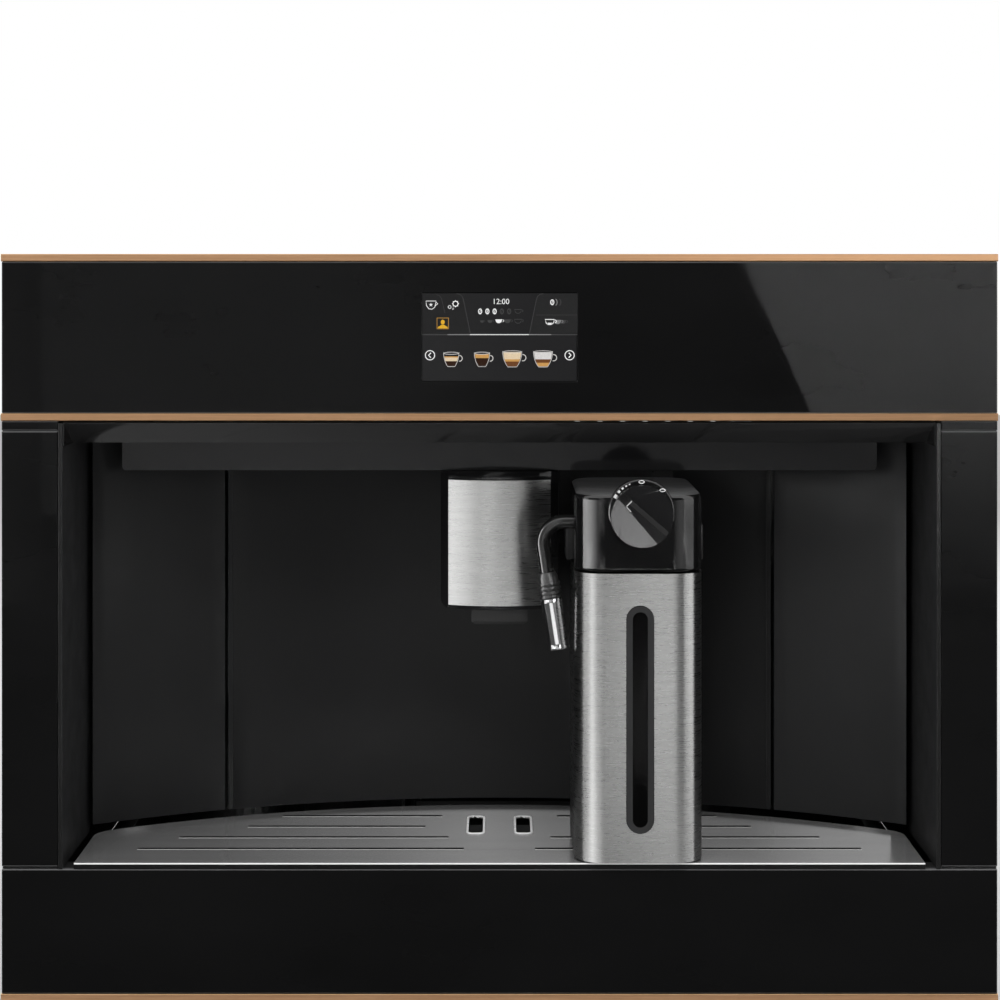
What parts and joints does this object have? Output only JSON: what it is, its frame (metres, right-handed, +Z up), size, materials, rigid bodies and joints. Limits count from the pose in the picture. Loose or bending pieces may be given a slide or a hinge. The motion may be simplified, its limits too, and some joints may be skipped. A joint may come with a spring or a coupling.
{
  "type": "built in coffee machine",
  "caption": "Built-in bean-to-cup coffee machine with glass facade, lit cup niche, sliding coffee spout, docked milk jug and telescopic rails.",
  "frame": {"origin": "on the shelf plane under the middle of the whole machine, at the underside of the fixed rails", "axes": "+X to the right seen from the front, +Y into the cabinet, +Z up"},
  "size_m": [0.597, 0.495, 0.4516],
  "materials": {
    "black_moulding": "fine moulded grain",
    "black_glass": "polished black back-painted glass with ground edges",
    "copper": "satin copper-coloured strip with polished edges",
    "display": "dark touch screen",
    "black_enamel": "satin black paint",
    "gloss_black": "polished black",
    "lamp_lens": "frosted lens",
    "chrome": "polished",
    "brushed_steel": "fine brushed grain",
    "red_plastic": "moulded",
    "satin_plastic": "satin",
    "smoked_plastic": "smoked translucent plastic",
    "grey_plastic": "satin grey rim",
    "zinc_steel": "galvanised sheet",
    "cast_alloy": "as cast",
    "hard_steel": "ground",
    "clear_plastic": "clear moulded plastic",
    "board": "green circuit board"
  },
  "bodies": {
    "cabinet_rails": {"rails_fixed": "zinc_steel"},
    "middle_rails": {"rails_middle": "zinc_steel"},
    "spout": {"spout_head": "black_moulding", "spout_cover": "brushed_steel", "spout_outlet": "satin_plastic"},
    "milk_jug": {"jug_sleeve": "brushed_steel", "jug_liner": "smoked_plastic", "jug_window": "grey_plastic", "milk_lid": "gloss_black", "dial_ring": "gloss_black"},
    "froth_knob": {"froth_knob": "gloss_black"},
    "milk_spout": {"milk_pipe": "gloss_black", "pipe_collar": "black_moulding", "pipe_tip": "chrome"},
    "release_left": {"release_left": "black_moulding"},
    "release_right": {"release_right": "black_moulding"},
    "hopper_lid": {"hopper_lid": "black_moulding"},
    "water_tank": {"water_tank": "clear_plastic"},
    "tank_lid": {"tank_lid": "black_moulding"},
    "grind_dial": {"grind_dial": "black_moulding"},
    "burr": {"burr": "hard_steel"},
    "brew_piston": {"brew_piston": "satin_plastic"},
    "power_rocker": {"power_rocker": "black_moulding"},
    "tray_float": {"tray_float": "red_plastic"},
    "machine": {"facade_frame": "black_moulding", "glass_upper": "black_glass", "glass_lower": "black_glass", "glass_columns": "black_glass", "trim_top": "copper", "trim_middle": "copper", "trim_bottom": "copper", "display_screen": "display", "niche_walls": "black_enamel", "niche_lip": "black_enamel", "canopy": "gloss_black", "cup_lights": "lamp_lens", "back_panel_left": "black_enamel", "back_panel_right": "black_enamel", "service_door": "black_enamel", "port_housing": "black_moulding", "steam_nozzle": "chrome", "tray_grid": "brushed_steel", "drip_tray": "black_moulding", "spout_guide": "black_moulding", "rails_moving": "zinc_steel", "chassis_base": "zinc_steel", "side_cover_left": "zinc_steel", "side_cover_right": "zinc_steel", "rear_cover": "zinc_steel", "top_cover": "zinc_steel", "inner_frame": "zinc_steel", "brew_unit": "black_moulding", "grounds_container": "black_moulding", "grinder": "cast_alloy", "bean_hopper": "smoked_plastic", "boiler": "cast_alloy", "pump": "black_moulding", "control_board": "board", "mains_inlet": "black_moulding", "switch_bezel": "black_moulding"}
  },
  "joints": [
    {"name": "machine_slide", "type": "slide", "parent": "cabinet_rails", "child": "machine", "axis": [0, -1, 0], "range_m": [0, 0.33]},
    {"name": "middle_rail_slide", "type": "slide", "parent": "cabinet_rails", "child": "middle_rails", "axis": [0, -1, 0], "range_m": [0, 0.165]},
    {"name": "spout_height", "type": "slide", "parent": "machine", "child": "spout", "axis": [0, 0, -1], "range_m": [0, 0.05]},
    {"name": "jug_slide", "type": "slide", "parent": "machine", "child": "milk_jug", "axis": [0, -1, 0], "range_m": [0, 0.12]},
    {"name": "froth_knob_turn", "type": "hinge", "parent": "milk_jug", "child": "froth_knob", "pos_m": [0.0845, -0.2275, 0.2958], "axis": [0, 1, 0], "range_deg": [0, 100]},
    {"name": "milk_spout_swivel", "type": "hinge", "parent": "milk_jug", "child": "milk_spout", "pos_m": [0.045, -0.1945, 0.2885], "axis": [-1, 0, 0], "range_deg": [0, 70]},
    {"name": "release_left_press", "type": "slide", "parent": "milk_jug", "child": "release_left", "axis": [1, 0, 0], "range_m": [0, 0.0015], "stiffness_N_per_m": 600, "springref_m": -0.003},
    {"name": "release_right_press", "type": "slide", "parent": "milk_jug", "child": "release_right", "axis": [-1, 0, 0], "range_m": [0, 0.0015], "stiffness_N_per_m": 600, "springref_m": -0.003},
    {"name": "hopper_lid_hinge", "type": "hinge", "parent": "machine", "child": "hopper_lid", "pos_m": [-0.02, 0.0845, 0.4445], "axis": [-1, 0, 0], "range_deg": [0, 95]},
    {"name": "tank_lift", "type": "slide", "parent": "machine", "child": "water_tank", "axis": [0, 0, 1], "range_m": [0, 0.19]},
    {"name": "tank_lid_hinge", "type": "hinge", "parent": "water_tank", "child": "tank_lid", "pos_m": [0.219, 0.1705, 0.4445], "axis": [-1, 0, 0], "range_deg": [0, 95]},
    {"name": "grind_dial_turn", "type": "hinge", "parent": "machine", "child": "grind_dial", "pos_m": [0.066, 0.0275, 0.444], "axis": [0, 0, 1], "range_deg": [-120, 120]},
    {"name": "burr_spin", "type": "hinge", "parent": "machine", "child": "burr", "pos_m": [-0.02, 0.0275, 0.354], "axis": [0, 0, 1], "continuous": true},
    {"name": "piston_stroke", "type": "slide", "parent": "machine", "child": "brew_piston", "axis": [0, 0, 1], "range_m": [0, 0.045]},
    {"name": "power_rocker_tilt", "type": "hinge", "parent": "machine", "child": "power_rocker", "pos_m": [-0.14, 0.2409, 0.066], "axis": [-1, 0, 0], "range_deg": [0, 16]},
    {"name": "float_rise", "type": "slide", "parent": "machine", "child": "tray_float", "axis": [0, 0, 1], "range_m": [0, 0.004]}
  ],
  "couplings": [
    {"joint": "middle_rail_slide", "follows": "machine_slide", "ratio": 0.5}
  ]
}
